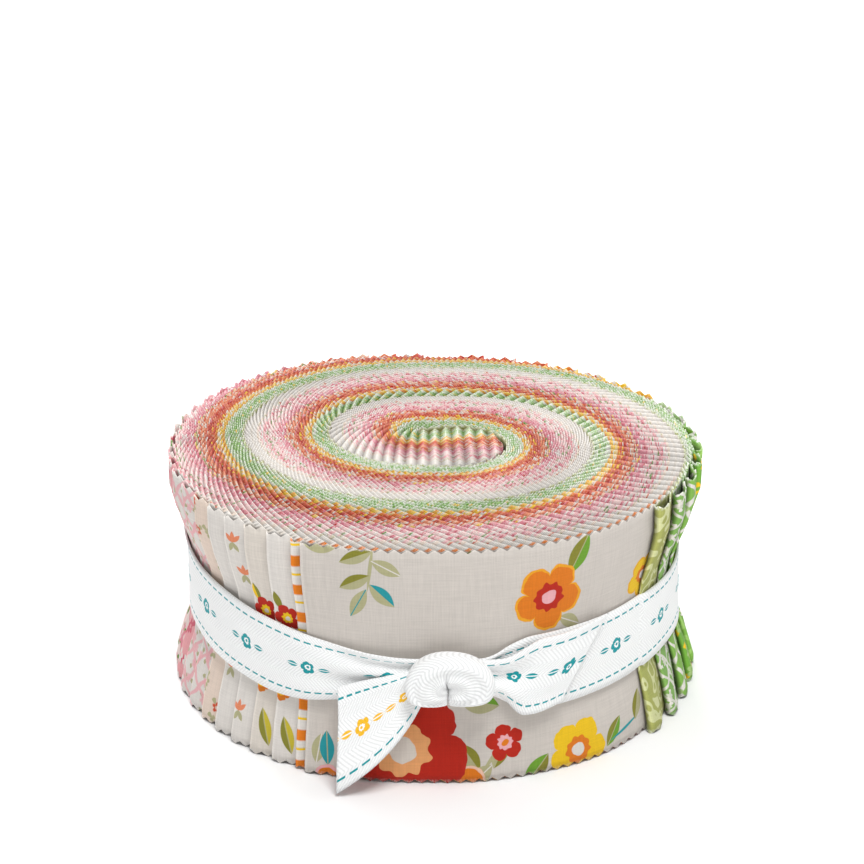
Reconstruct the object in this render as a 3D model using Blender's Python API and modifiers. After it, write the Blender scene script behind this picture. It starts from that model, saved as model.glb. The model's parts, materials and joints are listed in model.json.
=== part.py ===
"""Precut strip roll tied with a ribbon.

Forty folded strips of quilting cotton are stacked and rolled up together, and a
twill ribbon with a knot and two tails holds the roll. The roll stands on its
cut edges. X runs to the right, -Y is the side with the knot, Z is up. Lengths
are in metres and angles in degrees.

The roll is a spiral made of half-turns about two centres, with short straights
between them. A turn angle of 0 is where the stack first starts to curl, at the
front of the left centre, and it grows clockwise seen from above.
"""
import math
from collections import namedtuple

import bmesh
import bpy
from mathutils import Matrix, Vector

# Strips: how many, and the size of one folded strip
STRIP_COUNT = 40
STRIP_WIDTH = 0.0635
STRIP_THICKNESS = 0.00046
STRIP_GAP = 0.0001

# Roll: its core, the straights between half-turns, and where the strips end
CORE_RADIUS = 0.0027
CORE_SHIFT = (0.00175, 0.0042)
STRAIGHT = 0.008
FAN_START = 742.0
FAN_SWEEP = 287.5
FAN_EASE = 0.28
SEGMENTS = 8

# Roll: how loosely the stack lies
FRONT_LOOSENESS = 0.35
FRONT_LOOSE_SPAN = 115.0
LAST_LOOSENESS = 0.10
LAST_LOOSE_START = 700.0
LAST_LOOSE_SPAN = 100.0
EYE_STRIPS = 8
EYE_RADIUS = 0.0007
BLOCK_RISE = 0.0036
BLOCK_LENGTH = 0.014
BLOCK_STEP = 0.004
BLOCK_CLEARANCE = 0.0009
BLOCK_SPREAD = 1.15

# Ribbon: the band round the roll, the knot, and the two tails. Corners, sags and
# arches are given as (along the arc, down).
RIBBON_WIDTH = 0.020
RIBBON_THICKNESS = 0.0008
RIBBON_HEIGHT = 0.0295
RIBBON_CLEARANCE = 0.0004
KNOT_ANGLE = 3.8
KNOT_SIZE = (0.0205, 0.0070, 0.0144)
KNOT_RAISE = 0.0015
KNOT_GAP = 0.0004
TAIL_GAP = 0.0010
TAIL_STANDOFF = 0.0015
TAIL_STEPS = 8
TAIL_COLUMNS = 4
FLOOR_CLEARANCE = 0.0008
LEFT_ROOT_SLANT = 0.20
LEFT_ROOT_DEPTH = 0.57
LEFT_TAIL_REACH = 0.0175
LEFT_TAIL_CORNER = (0.0155, 0.0042)
LEFT_TAIL_ARCH = 0.0008
LEFT_TAIL_SAG = (0.0050, 0.0110)
LEFT_TAIL_LIFT = 0.0070
RIGHT_TAIL_REACH = 0.031
RIGHT_TAIL_CUT = 0.0145
RIGHT_TAIL_ROOT = 0.010
RIGHT_FLARE_SHARE = 0.4

# Cloths from the inside of the roll to its outside: name, share of the strips, colour
CLOTH_GROUPS = (
    ("olive", 1, (0.42, 0.45, 0.08)),
    ("green", 7, (0.30, 0.52, 0.12)),
    ("yellow", 3, (0.90, 0.55, 0.06)),
    ("coral", 9, (0.75, 0.12, 0.06)),
    ("pink", 8, (0.80, 0.38, 0.42)),
    ("cream", 12, (0.82, 0.78, 0.70)),
)
RIBBON_COLOUR = (0.88, 0.89, 0.90)
CLOTH_ROUGHNESS = 0.9
RIBBON_ROUGHNESS = 0.7

# Worked out from the sizes above
PITCH = STRIP_THICKNESS + STRIP_GAP
STACK = STRIP_COUNT * PITCH
EYE_STACK = EYE_STRIPS * PITCH
LEFT_CENTRE = Vector((CORE_SHIFT[0] - STRAIGHT / 2, CORE_SHIFT[1] + STACK / 4))
RIGHT_CENTRE = Vector((CORE_SHIFT[0] + STRAIGHT / 2, CORE_SHIFT[1] - STACK / 4))
LAP = 360.0
HALF_LAP = LAP / 2
FRONT_OF_LAST_TURN = 2 * LAP
TURN_STEP = HALF_LAP / SEGMENTS

# A ray that every strip crosses. On the flat start, reach is its distance from
# the left centre; elsewhere reach is None and turn is its turn angle.
Ray = namedtuple("Ray", "start direction turn right reach")


def smoothstep(value):
    """Ease from 0 to 1."""
    value = min(max(value, 0.0), 1.0)
    return value * value * (3.0 - 2.0 * value)


# ---------------------------------------------------------------- the spiral

def looseness(turn):
    """Return how far the stack is spread at a turn angle; 1 is pressed tight."""
    spread = 1.0 + LAST_LOOSENESS * smoothstep((turn - LAST_LOOSE_START) / LAST_LOOSE_SPAN)
    away = abs(turn - FRONT_OF_LAST_TURN) / FRONT_LOOSE_SPAN
    if away < 1.0:
        spread += FRONT_LOOSENESS * math.cos(away * math.pi / 2) ** 2
    return spread


def inner_radius(turn, right):
    """Return the radius of the stack's inner face, outside all earlier laps."""
    first_middle = HALF_LAP * (1.5 if right else 0.5)
    laps = round((turn - first_middle) / LAP)
    radius = CORE_RADIUS + (STACK / 2 if right else 0.0)
    for lap in range(1, laps + 1):
        radius += STACK * looseness(turn - LAP * lap)
    return radius


def zone_radii(ray):
    """Return the radii of the stack's inner face, its eye zone's edge and its outer face."""
    if ray.reach is not None:
        return block_radii(ray.reach)
    inner = inner_radius(ray.turn, ray.right)
    spread = looseness(ray.turn)
    edge = inner + EYE_STACK * spread
    outer = inner + STACK * spread
    if not ray.right and ray.turn <= HALF_LAP:
        inner = EYE_RADIUS
    return inner, edge, outer


def block_radii(reach):
    """Return the same three radii on the flat start, where the strips' ends spread up."""
    if reach < STRAIGHT:
        roof = EYE_RADIUS + (CORE_RADIUS - EYE_RADIUS) * reach / STRAIGHT
    else:
        room = CORE_RADIUS + STACK / 2
        across = min(reach - STRAIGHT, room)
        roof = math.sqrt(room ** 2 - across ** 2) - STACK / 2
    rise = EYE_RADIUS + roof - BLOCK_CLEARANCE
    inner = EYE_RADIUS - rise * smoothstep(reach / STRAIGHT)
    edge = CORE_RADIUS + EYE_STACK - BLOCK_RISE * smoothstep(reach / BLOCK_LENGTH)
    return min(inner, edge - EYE_STACK * BLOCK_SPREAD), edge, CORE_RADIUS + STACK


def stack_radius(ray, depth):
    """Return the radius on a ray of what lies at a depth in the pressed stack."""
    inner, edge, outer = zone_radii(ray)
    if depth < EYE_STACK:
        return inner + (edge - inner) * depth / EYE_STACK
    return edge + (outer - edge) * (depth - EYE_STACK) / (STACK - EYE_STACK)


def point_on(ray, radius):
    """Return the point of a ray at a radius."""
    return ray.start + ray.direction * radius


def turn_ray(turn, right):
    """Return the ray from a centre at a turn angle."""
    angle = math.radians(-90.0 - turn)
    direction = Vector((math.cos(angle), math.sin(angle)))
    return Ray(RIGHT_CENTRE if right else LEFT_CENTRE, direction, turn, right, None)


def block_ray(reach):
    """Return the ray across the flat start, a reach to the right of the left centre."""
    return Ray(LEFT_CENTRE + Vector((reach, 0.0)), Vector((0.0, -1.0)), 0.0, False, reach)


def turn_rays(first, last):
    """Return the rays from one turn angle to another, both centres' where they meet."""
    rays = []
    for half in range(math.ceil(last / HALF_LAP)):
        for index in range(SEGMENTS + 1):
            turn = half * HALF_LAP + index * TURN_STEP
            if first <= turn <= last:
                rays.append(turn_ray(turn, half % 2 == 1))
    return rays


def fold_turn(index):
    """Return the turn angle of a strip's fold; the innermost strip reaches furthest."""
    share = (STRIP_COUNT - 1 - index) / (STRIP_COUNT - 1)
    return FAN_START + FAN_SWEEP * ((1.0 - FAN_EASE) * share + FAN_EASE * share ** 2)


def strips_present(turn):
    """Return how many strips, as a smooth value, reach past a turn angle."""
    swept = max(turn - FAN_START, 0.0) / FAN_SWEEP
    linear = 1.0 - FAN_EASE
    share = (math.sqrt(linear ** 2 + 4.0 * FAN_EASE * swept) - linear) / (2.0 * FAN_EASE)
    return STRIP_COUNT - (STRIP_COUNT - 1) * share


def block_reach(depth):
    """Return how far right of the left centre a strip's inner end lies."""
    room = CORE_RADIUS + STACK / 2 - BLOCK_CLEARANCE
    near = STRAIGHT
    far = STRAIGHT + room
    for _ in range(30):
        middle = (near + far) / 2
        ray = block_ray(middle)
        inside = (point_on(ray, stack_radius(ray, depth)) - RIGHT_CENTRE).length < room
        near, far = (middle, far) if inside else (near, middle)
    return near


def strip_path(index):
    """Return the points of a strip's middle surface seen from above, core to fold."""
    depth = (index + 0.5) * PITCH
    reach = block_reach(depth)
    rays = [block_ray(step * BLOCK_STEP) for step in range(int(reach / BLOCK_STEP), 0, -1)]
    rays.insert(0, block_ray(reach))
    if len(rays) > 1 and reach - rays[1].reach < BLOCK_STEP / 4:
        rays.pop(1)
    last = fold_turn(index)
    rays += turn_rays(0.0, last)
    path = [point_on(ray, stack_radius(ray, depth)) for ray in rays]
    before = rays[-1]
    after = turn_ray(before.turn + TURN_STEP, before.right)
    beyond = point_on(after, stack_radius(after, depth))
    path.append(path[-1].lerp(beyond, (last - before.turn) / TURN_STEP))
    return path


# ---------------------------------------------------------------- the ribbon

def band_path():
    """Return the points of the band's middle surface seen from above."""
    last = FAN_START + FAN_SWEEP
    away = PITCH + RIBBON_CLEARANCE + RIBBON_THICKNESS / 2
    rays = turn_rays(last - LAP, last)
    return [point_on(ray, stack_radius(ray, strips_present(ray.turn) * PITCH) + away)
            for ray in rays]


def cross(first, second):
    """Return the cross product of two plane vectors."""
    return first.x * second.y - first.y * second.x


def band_radius(angle):
    """Return the distance from the axis to the band's outer face, at an angle from the front."""
    heading = Vector((math.sin(angle), -math.cos(angle)))
    path = band_path()
    radius = 0.0
    for start, end in zip(path, path[1:] + path[:1]):
        share = -cross(heading, start) / cross(heading, end - start)
        if 0.0 <= share <= 1.0:
            radius = max(radius, start.lerp(end, share).dot(heading))
    return radius + RIBBON_THICKNESS / 2


def on_front(arc, height, standoff):
    """Return a point over the band: arc to the right of the front, height, and standoff."""
    reference = band_radius(0.0)
    angle = arc / reference
    radius = band_radius(angle) + standoff
    return Vector((radius * math.sin(angle), -radius * math.cos(angle), height))


def curve_between(start, control, end, share):
    """Return a point of the quadratic curve through start and end."""
    first = start.lerp(control, share)
    return first.lerp(control.lerp(end, share), share)


def knot_centre():
    """Return the arc and the height of the middle of the knot."""
    arc = math.radians(KNOT_ANGLE) * band_radius(0.0)
    return Vector((arc, RIBBON_HEIGHT + KNOT_RAISE))


def left_tail_rows():
    """Return the left tail's rows of a low and a top edge point: arc, height, standoff."""
    knot = knot_centre()
    root_top = Vector((knot.x - KNOT_SIZE[0] / 2 - TAIL_GAP, knot.y))
    root_low = root_top + Vector((KNOT_SIZE[0] * LEFT_ROOT_SLANT, -KNOT_SIZE[2] * LEFT_ROOT_DEPTH))
    cut_top = root_top - Vector(LEFT_TAIL_CORNER)
    cut_low = Vector((root_top.x - LEFT_TAIL_REACH, FLOOR_CLEARANCE))
    top_bend = root_top.lerp(cut_top, 0.5) + Vector((0.0, LEFT_TAIL_ARCH))
    low_bend = root_low - Vector(LEFT_TAIL_SAG)
    rows = []
    for step in range(TAIL_STEPS + 1):
        share = step / TAIL_STEPS
        low = curve_between(root_low, low_bend, cut_low, share)
        top = curve_between(root_top, top_bend, cut_top, share)
        low_standoff = TAIL_STANDOFF + LEFT_TAIL_LIFT * share
        top_standoff = TAIL_STANDOFF + LEFT_TAIL_LIFT * share / 3
        rows.append((Vector((*low, low_standoff)), Vector((*top, top_standoff))))
    return rows


def right_tail_rows():
    """Return the right tail's rows of a low and a top edge point: arc, height, standoff."""
    knot = knot_centre()
    root = knot.x + KNOT_SIZE[0] / 2 + TAIL_GAP
    rows = []
    for step in range(TAIL_STEPS + 1):
        share = step / TAIL_STEPS
        widening = (RIBBON_WIDTH - RIGHT_TAIL_ROOT) / 2 * smoothstep(share / RIGHT_FLARE_SHARE)
        flare = RIGHT_TAIL_ROOT / 2 + widening
        low_arc = root + (RIGHT_TAIL_REACH - RIGHT_TAIL_CUT) * share
        top_arc = root + RIGHT_TAIL_REACH * share
        rows.append((
            Vector((low_arc, RIBBON_HEIGHT - flare, TAIL_STANDOFF)),
            Vector((top_arc, RIBBON_HEIGHT + flare, TAIL_STANDOFF)),
        ))
    return rows


# ------------------------------------------------------------ Blender objects

def clear_scene():
    """Remove every object that the scene starts with."""
    for item in list(bpy.data.objects):
        bpy.data.objects.remove(item, do_unlink=True)


def make_material(name, colour, roughness):
    """Return a cloth material of one colour."""
    material = bpy.data.materials.new(name)
    material.use_nodes = True
    shader = material.node_tree.nodes["Principled BSDF"]
    shader.inputs["Base Color"].default_value = (*colour, 1.0)
    shader.inputs["Roughness"].default_value = roughness
    shader.inputs["Metallic"].default_value = 0.0
    return material


def add_object(name, shape, material, collection, parent=None):
    """Put a bmesh shape into the scene; its points are counted from the parent's place."""
    mesh = bpy.data.meshes.new(name)
    shape.to_mesh(mesh)
    shape.free()
    mesh.materials.append(material)
    item = bpy.data.objects.new(name, mesh)
    item.parent = parent
    collection.objects.link(item)
    return item


def add_empty(name, place, collection, parent=None):
    """Put an empty on a joint's axis, at a place counted from its parent's."""
    empty = bpy.data.objects.new(name, None)
    empty.empty_display_size = RIBBON_WIDTH / 2
    empty.location = place
    empty.parent = parent
    collection.objects.link(empty)
    return empty


def thicken(item, thickness):
    """Give an open cloth surface its thickness, half to each side."""
    solidify = item.modifiers.new("Thickness", "SOLIDIFY")
    solidify.thickness = thickness
    solidify.offset = 0.0
    solidify.use_even_offset = True


def upright_wall(path, bottom, height, closed=False):
    """Return an upright surface that follows a path seen from above."""
    shape = bmesh.new()
    points = [shape.verts.new((point.x, point.y, bottom)) for point in path]
    pairs = list(zip(points, points[1:]))
    if closed:
        pairs.append((points[-1], points[0]))
    edges = [shape.edges.new(pair) for pair in pairs]
    made = bmesh.ops.extrude_edge_only(shape, edges=edges)
    raised = [part for part in made["geom"] if isinstance(part, bmesh.types.BMVert)]
    bmesh.ops.translate(shape, verts=raised, vec=(0.0, 0.0, height))
    bmesh.ops.recalc_face_normals(shape, faces=shape.faces[:])
    return shape


def ruled_sheet(rows, pivot):
    """Return an open surface between the low and top edges of rows, counted from a pivot."""
    shape = bmesh.new()
    bmesh.ops.create_grid(shape, x_segments=TAIL_COLUMNS, y_segments=TAIL_STEPS, size=0.5)
    for corner in shape.verts:
        low, top = rows[round((corner.co.y + 0.5) * TAIL_STEPS)]
        corner.co = on_front(*low.lerp(top, corner.co.x + 0.5)) - pivot
    return shape


def cloth_colour(index):
    """Return the colour of a strip's cloth, by its place in the stack from the inside out."""
    place = (index + 0.5) / STRIP_COUNT * sum(count for _, count, _ in CLOTH_GROUPS)
    for _, count, colour in CLOTH_GROUPS:
        if place < count:
            return colour
        place -= count
    return colour


def add_strips(collection):
    """Add the folded strips; strip_01 is the innermost one."""
    for index in range(STRIP_COUNT):
        name = f"strip_{index + 1:02d}"
        material = make_material(name, cloth_colour(index), CLOTH_ROUGHNESS)
        wall = upright_wall(strip_path(index), 0.0, STRIP_WIDTH)
        strip = add_object(name, wall, material, collection)
        thicken(strip, STRIP_THICKNESS)


def add_band(collection, slider):
    """Add the band that goes round the roll."""
    material = make_material("ribbon_band", RIBBON_COLOUR, RIBBON_ROUGHNESS)
    bottom = RIBBON_HEIGHT - RIBBON_WIDTH / 2
    wall = upright_wall(band_path(), bottom, RIBBON_WIDTH, closed=True)
    band = add_object("ribbon_band", wall, material, collection, slider)
    thicken(band, RIBBON_THICKNESS)


def add_knot(collection, slider):
    """Add the knot, a soft lump that clears the band's corners under it."""
    material = make_material("ribbon_knot", RIBBON_COLOUR, RIBBON_ROUGHNESS)
    centre = knot_centre()
    place = on_front(centre.x, centre.y, KNOT_SIZE[1] / 2 + KNOT_GAP)
    shape = bmesh.new()
    bmesh.ops.create_uvsphere(shape, u_segments=16, v_segments=10, radius=0.5)
    bmesh.ops.scale(shape, verts=shape.verts[:], vec=KNOT_SIZE)
    heading = math.radians(KNOT_ANGLE)
    bmesh.ops.rotate(shape, verts=shape.verts[:], matrix=Matrix.Rotation(heading, 3, "Z"))
    bmesh.ops.translate(shape, verts=shape.verts[:], vec=place)
    knot = add_object("ribbon_knot", shape, material, collection, slider)
    knot.data.shade_smooth()


def add_tail(name, rows, collection, slider):
    """Add a ribbon tail, on a hinge along its first row beside the knot."""
    material = make_material(name, RIBBON_COLOUR, RIBBON_ROUGHNESS)
    pivot = (on_front(*rows[0][0]) + on_front(*rows[0][1])) / 2
    hinge = add_empty(name + "_hinge", pivot, collection, slider)
    tail = add_object(name, ruled_sheet(rows, pivot), material, collection, hinge)
    thicken(tail, RIBBON_THICKNESS)


def centre_over_origin(collection):
    """Move the whole object so that the origin is under the middle of its box."""
    bpy.context.view_layer.update()
    depsgraph = bpy.context.evaluated_depsgraph_get()
    corners = []
    for item in collection.objects:
        if item.type == "MESH":
            seen = item.evaluated_get(depsgraph)
            corners += [seen.matrix_world @ Vector(corner) for corner in seen.bound_box]
    for axis in (0, 1):
        low = min(corner[axis] for corner in corners)
        high = max(corner[axis] for corner in corners)
        for item in collection.objects:
            if item.parent is None:
                item.location[axis] -= (low + high) / 2


def build():
    """Build the strip roll and its ribbon."""
    clear_scene()
    collection = bpy.data.collections.new("strip_roll")
    bpy.context.scene.collection.children.link(collection)
    add_strips(collection)
    slider = add_empty("ribbon_slide", (0.0, 0.0, 0.0), collection)
    add_band(collection, slider)
    add_knot(collection, slider)
    add_tail("ribbon_tail_left", left_tail_rows(), collection, slider)
    add_tail("ribbon_tail_right", right_tail_rows(), collection, slider)
    centre_over_origin(collection)


build()
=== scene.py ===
"""Precut strip roll: folded strips of printed quilting cotton, rolled up and tied with a twill ribbon.

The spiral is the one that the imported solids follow. Each strip is a sheet folded in
half at the outer end, with pinked edges, and the ribbon pulls a waist into the roll.
Lengths are in metres and turn angles in degrees; prints are laid out in millimetres.
"""
import json
import math
from collections import namedtuple

import bmesh
import bpy
import numpy as np
from bpy.props import FloatProperty, FloatVectorProperty, PointerProperty
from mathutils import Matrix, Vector


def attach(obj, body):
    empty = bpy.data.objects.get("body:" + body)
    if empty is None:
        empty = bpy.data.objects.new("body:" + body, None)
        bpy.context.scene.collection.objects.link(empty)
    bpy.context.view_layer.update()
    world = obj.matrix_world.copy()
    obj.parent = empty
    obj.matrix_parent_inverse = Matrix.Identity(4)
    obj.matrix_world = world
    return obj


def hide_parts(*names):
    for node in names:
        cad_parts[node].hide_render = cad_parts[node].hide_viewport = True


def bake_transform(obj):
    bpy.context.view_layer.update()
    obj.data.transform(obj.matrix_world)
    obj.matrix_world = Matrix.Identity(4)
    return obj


bl_info = {
    "name": "Precut Strip Roll",
    "version": (1, 0, 0),
    "blender": (4, 5, 0),
    "location": "View3D > Sidebar > Strip Roll",
    "description": "Rolled strips of printed cotton tied with a twill ribbon",
    "category": "Add Mesh",
}

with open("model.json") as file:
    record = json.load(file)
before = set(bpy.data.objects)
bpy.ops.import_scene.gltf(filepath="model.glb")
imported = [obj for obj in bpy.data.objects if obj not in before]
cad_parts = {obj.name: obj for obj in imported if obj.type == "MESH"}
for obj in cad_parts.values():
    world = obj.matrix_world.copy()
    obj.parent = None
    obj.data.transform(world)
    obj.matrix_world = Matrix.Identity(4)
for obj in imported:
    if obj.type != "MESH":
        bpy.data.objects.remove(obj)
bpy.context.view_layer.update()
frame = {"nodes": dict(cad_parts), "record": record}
MM = 0.001

# ------------------------------------------------------------- the roll's sizes

STRIP_COUNT = sum(name.startswith("strip_") for name in frame["nodes"])
STRIP_WIDTH = 0.0635
PITCH = 0.00056
STACK = STRIP_COUNT * PITCH
CORE_RADIUS = 0.0027
CORE_SHIFT = (0.00175, 0.0042)
STRAIGHT = 0.008
FAN_START = 742.0
FAN_SWEEP = 287.5
FAN_EASE = 0.28
FRONT_LOOSENESS = 0.35
FRONT_LOOSE_SPAN = 115.0
LAST_LOOSENESS = 0.10
LAST_LOOSE_START = 700.0
LAST_LOOSE_SPAN = 100.0
EYE_STACK = 8 * PITCH
EYE_RADIUS = 0.0007
BLOCK_RISE = 0.0036
BLOCK_LENGTH = 0.014
BLOCK_CLEARANCE = 0.0009
BLOCK_SPREAD = 1.15
LEFT_CENTRE = Vector((CORE_SHIFT[0] - STRAIGHT / 2, CORE_SHIFT[1] + STACK / 4))
RIGHT_CENTRE = Vector((CORE_SHIFT[0] + STRAIGHT / 2, CORE_SHIFT[1] - STACK / 4))
LAP = 360.0
HALF_LAP = 180.0

TURN_STEP = 1.5
REACH_STEP = 0.0004

# The first folds after the outermost lie closer together
FOLD_PULL = 3.2
FOLD_PULL_STRIPS = 6

# Heights of the rows of a strip between its two pinked edges
ROW_HEIGHTS = (0.0024, 0.010, 0.017, 0.0235, 0.0355, 0.042, 0.0495, 0.056, 0.0611)
WAIST_HEIGHT = 0.0295
WAIST_FLAT = 0.007
WAIST_FADE = 0.021
ROLL_RADIUS = 0.0690
QUIET_RADIUS = 0.015

# Ribbon
RIBBON_WIDTH = 0.020
RIBBON_HEIGHT = 0.0295
RIBBON_CLOTH = 0.0005
BAND_STANDOFF = 0.0009
KNOT_ANGLE = 3.8
KNOT_SIZE = (0.0205, 0.0070, 0.0144)
KNOT_RAISE = 0.0015
KNOT_GAP = 0.0004
TAIL_GAP = 0.0010
TAIL_STANDOFF = 0.0015
FLOOR_CLEARANCE = 0.0008
LEFT_ROOT_SLANT = 0.20
LEFT_ROOT_DEPTH = 0.57
LEFT_TAIL_REACH = 0.0175
LEFT_TAIL_CORNER = (0.0155, 0.0042)
LEFT_TAIL_ARCH = 0.0008
LEFT_TAIL_SAG = (0.0050, 0.0110)
LEFT_TAIL_LIFT = 0.0070
LEFT_TAIL_TRIM = 0.0035
RIGHT_TAIL_REACH = 0.031
RIGHT_TAIL_CUT = 0.0145
RIGHT_TAIL_ROOT = 0.010
RIGHT_FLARE_SHARE = 0.4

Ray = namedtuple("Ray", "start direction turn right reach")
Line = namedtuple("Line", "along places outward curl")


def smoothstep(value):
    """Ease from 0 to 1."""
    value = min(max(value, 0.0), 1.0)
    return value * value * (3.0 - 2.0 * value)


def ease(values):
    """Ease an array from 0 to 1."""
    values = np.clip(values, 0.0, 1.0)
    return values * values * (3.0 - 2.0 * values)


# ------------------------------------------------------------------- the spiral

def looseness(turn):
    """Return how far the stack is spread at a turn angle; 1 is pressed tight."""
    spread = 1.0 + LAST_LOOSENESS * smoothstep((turn - LAST_LOOSE_START) / LAST_LOOSE_SPAN)
    away = abs(turn - 2 * LAP) / FRONT_LOOSE_SPAN
    if away < 1.0:
        spread += FRONT_LOOSENESS * math.cos(away * math.pi / 2) ** 2
    return spread


def inner_radius(turn, right):
    """Return the radius of the stack's inner face, outside all earlier laps."""
    first_middle = HALF_LAP * (1.5 if right else 0.5)
    laps = round((turn - first_middle) / LAP)
    radius = CORE_RADIUS + (STACK / 2 if right else 0.0)
    for lap in range(1, laps + 1):
        radius += STACK * looseness(turn - LAP * lap)
    return radius


def block_radii(reach):
    """Return the radii of the stack's faces and its eye zone's edge on the flat start."""
    if reach < STRAIGHT:
        roof = EYE_RADIUS + (CORE_RADIUS - EYE_RADIUS) * reach / STRAIGHT
    else:
        room = CORE_RADIUS + STACK / 2
        across = min(reach - STRAIGHT, room)
        roof = math.sqrt(room ** 2 - across ** 2) - STACK / 2
    rise = EYE_RADIUS + roof - BLOCK_CLEARANCE
    inner = EYE_RADIUS - rise * smoothstep(reach / STRAIGHT)
    edge = CORE_RADIUS + EYE_STACK - BLOCK_RISE * smoothstep(reach / BLOCK_LENGTH)
    return min(inner, edge - EYE_STACK * BLOCK_SPREAD), edge, CORE_RADIUS + STACK


def zone_radii(ray):
    """Return the radii of the stack's inner face, its eye zone's edge and its outer face."""
    if ray.reach is not None:
        return block_radii(ray.reach)
    inner = inner_radius(ray.turn, ray.right)
    spread = looseness(ray.turn)
    edge = inner + EYE_STACK * spread
    outer = inner + STACK * spread
    if not ray.right and ray.turn <= HALF_LAP:
        inner = EYE_RADIUS
    return inner, edge, outer


def stack_radius(ray, depth):
    """Return the radius on a ray of what lies at a depth in the pressed stack."""
    inner, edge, outer = zone_radii(ray)
    if depth < EYE_STACK:
        return inner + (edge - inner) * depth / EYE_STACK
    return edge + (outer - edge) * (depth - EYE_STACK) / (STACK - EYE_STACK)


def turn_ray(turn, right):
    """Return the ray from a centre at a turn angle."""
    angle = math.radians(-90.0 - turn)
    direction = Vector((math.cos(angle), math.sin(angle)))
    return Ray(RIGHT_CENTRE if right else LEFT_CENTRE, direction, turn, right, None)


def block_ray(reach):
    """Return the ray across the flat start, a reach to the right of the left centre."""
    return Ray(LEFT_CENTRE + Vector((reach, 0.0)), Vector((0.0, -1.0)), 0.0, False, reach)


def turn_rays(first, last):
    """Return closely spaced rays between two turn angles, both centres' where they meet."""
    rays = []
    steps = round(HALF_LAP / TURN_STEP)
    for half in range(math.ceil(last / HALF_LAP)):
        right = half % 2 == 1
        turns = [half * HALF_LAP + index * TURN_STEP for index in range(steps + 1)]
        inside = [turn for turn in turns if first <= turn <= last]
        if inside and turns[0] < first:
            inside.insert(0, first)
        if inside and turns[-1] > last:
            inside.append(last)
        rays += [turn_ray(turn, right) for turn in inside]
    return rays


def fold_turn(index):
    """Return the turn angle of a strip's fold; the innermost strip reaches furthest."""
    share = (STRIP_COUNT - 1 - index) / (STRIP_COUNT - 1)
    turn = FAN_START + FAN_SWEEP * ((1.0 - FAN_EASE) * share + FAN_EASE * share ** 2)
    behind = STRIP_COUNT - 1 - index
    if behind:
        turn -= FOLD_PULL * (1.0 - smoothstep((behind - FOLD_PULL_STRIPS) / 3.0))
    return turn


def strips_present(turn):
    """Return how many strips, as a smooth value, reach past a turn angle."""
    swept = max(turn - FAN_START, 0.0) / FAN_SWEEP
    linear = 1.0 - FAN_EASE
    share = (math.sqrt(linear ** 2 + 4.0 * FAN_EASE * swept) - linear) / (2.0 * FAN_EASE)
    return STRIP_COUNT - (STRIP_COUNT - 1) * share


def block_reach(depth):
    """Return how far right of the left centre a strip's inner end lies."""
    room = CORE_RADIUS + STACK / 2 - BLOCK_CLEARANCE
    near = STRAIGHT
    far = STRAIGHT + room
    for _ in range(30):
        middle = (near + far) / 2
        ray = block_ray(middle)
        point = ray.start + ray.direction * stack_radius(ray, depth)
        near, far = (middle, far) if (point - RIGHT_CENTRE).length < room else (near, middle)
    return near


def frame_shift():
    """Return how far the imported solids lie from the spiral's own coordinates."""
    mounts = frame["record"]["mounts"]
    place = next(mount for mount in mounts if mount["name"] == "base")["pos_m"]
    ray = turn_ray(LAP, True)
    middle = (LEFT_CENTRE.x + RIGHT_CENTRE.x) / 2
    return Vector((place[0] - middle, place[1] - ray.start.y
                   + stack_radius(ray, (STRIP_COUNT / 2 - 0.5) * PITCH)))


def line_of(rays, radii, first_turn=0):
    """Return the line through points at these radii on the rays, in the frame's coordinates."""
    shift = SHIFT
    places = np.array([ray.start + ray.direction * radius + shift
                       for ray, radius in zip(rays, radii)])
    outward = np.array([ray.direction for ray in rays])
    steps = np.hypot(*(places[1:] - places[:-1]).T)
    keep = np.concatenate([[True], steps > 1e-7])
    along = np.concatenate([[0.0], np.cumsum(steps)])
    return Line(along[keep], places[keep], outward[keep], along[first_turn])


def layer_line(depth, last):
    """Return one layer of cloth seen from above, from its inner end to a turn angle."""
    reach = block_reach(depth)
    count = round(reach / REACH_STEP)
    rays = [block_ray(reach * step / count) for step in range(count, 0, -1)]
    rays += turn_rays(0.0, last)
    return line_of(rays, [stack_radius(ray, depth) for ray in rays], count)


def read_line(line, along):
    """Return the places and outward directions at distances along a line."""
    places = [np.interp(along, line.along, line.places[:, axis]) for axis in (0, 1)]
    outward = [np.interp(along, line.along, line.outward[:, axis]) for axis in (0, 1)]
    return np.stack(places, -1), np.stack(outward, -1)


def waist(heights):
    """Return how much of the ribbon's pull is felt at heights, from 0 to 1."""
    return 1.0 - ease((np.abs(heights - WAIST_HEIGHT) - WAIST_FLAT) / WAIST_FADE)


def settle(places, settings):
    """Pull places in towards the axis under the ribbon, and let the roll waver a little."""
    x, y, z = places[..., 0], places[..., 1], places[..., 2]
    radius = np.maximum(np.hypot(x, y), 1e-6)
    side = x / radius
    angle = np.arctan2(y, x)
    share = np.clip((radius - QUIET_RADIUS) / (ROLL_RADIUS - QUIET_RADIUS), 0.0, 1.2)
    pull = settings.waist_pinch * (0.55 + 0.87 * side ** 2 - 0.07 * side) * waist(z)
    waver = 0.28 * np.sin(3 * angle + 0.6) + 0.16 * np.sin(7 * angle + 110 * z)
    waver += 0.10 * np.sin(13 * angle - 190 * z + 1.0)
    scale = 1.0 + share * (waver * MM - pull) / radius
    settled = places.copy()
    settled[..., 0] = x * scale
    settled[..., 1] = y * scale
    return settled


# --------------------------------------------------------------- sheets of cloth

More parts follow.
